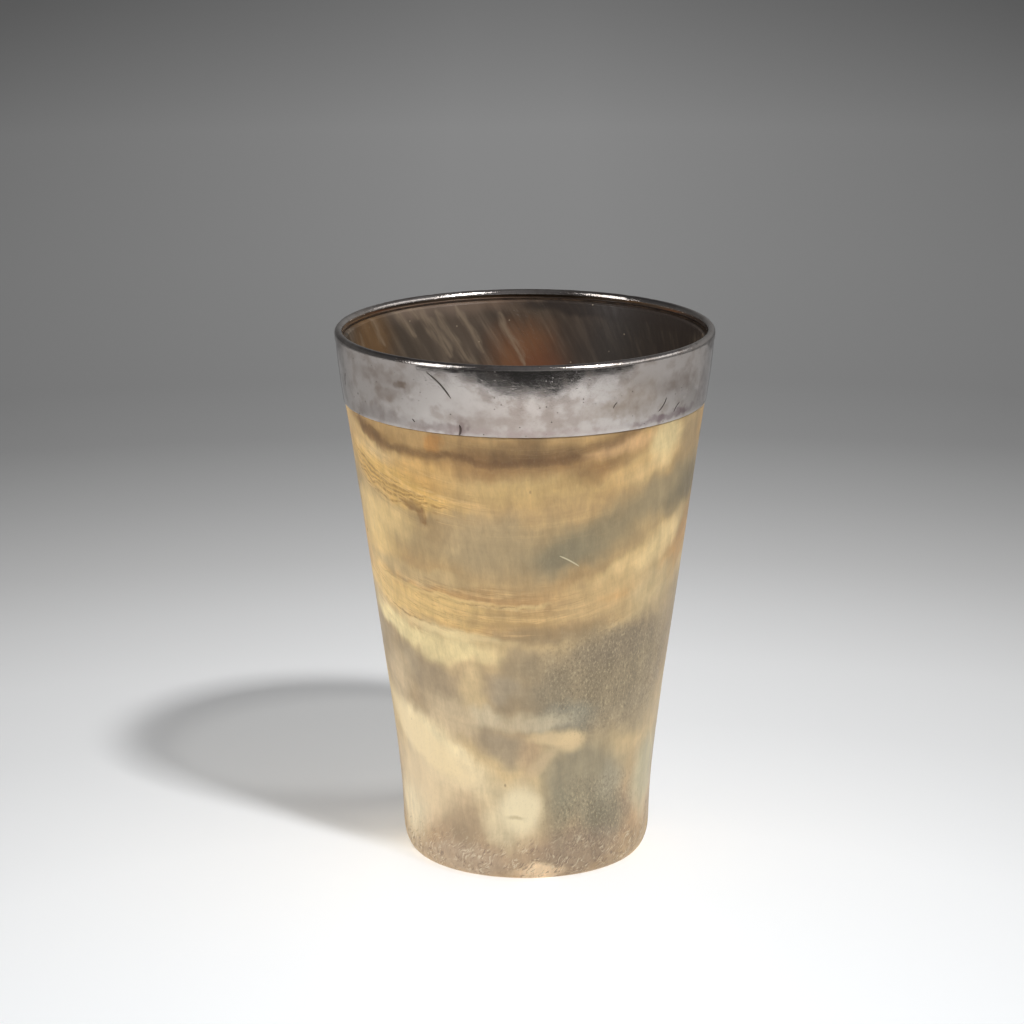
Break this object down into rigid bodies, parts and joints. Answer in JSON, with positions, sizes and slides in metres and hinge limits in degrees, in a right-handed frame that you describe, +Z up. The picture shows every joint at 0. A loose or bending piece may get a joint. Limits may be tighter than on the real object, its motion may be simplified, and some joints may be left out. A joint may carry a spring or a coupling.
{
  "type": "horn tumbler",
  "caption": "Straight-sided flared drinking tumbler turned from cattle horn, with a rounded foot, a let-in base disc, and a plain silver collar with a half-round lip on its mouth.",
  "frame": {"origin": "on the tumbler's axis, in the plane that its foot rests on", "axes": "+Z up along the axis, towards the mouth; -Y is the front; millimetre source, metres in this record"},
  "size_m": [0.082, 0.082, 0.117],
  "materials": {
    "horn": "turned and polished horn, satin, translucent, clouded",
    "dark_horn": "scraped and polished dark horn",
    "pitch": "dull brown pitch",
    "silver": "polished silver with light tarnish and fine wear"
  },
  "bodies": {
    "root": {"horn_body": "horn", "base_disc": "dark_horn", "base_seal": "pitch", "band_cement": "pitch", "rim_band": "silver", "rim_lip": "silver"}
  },
  "joints": []
}
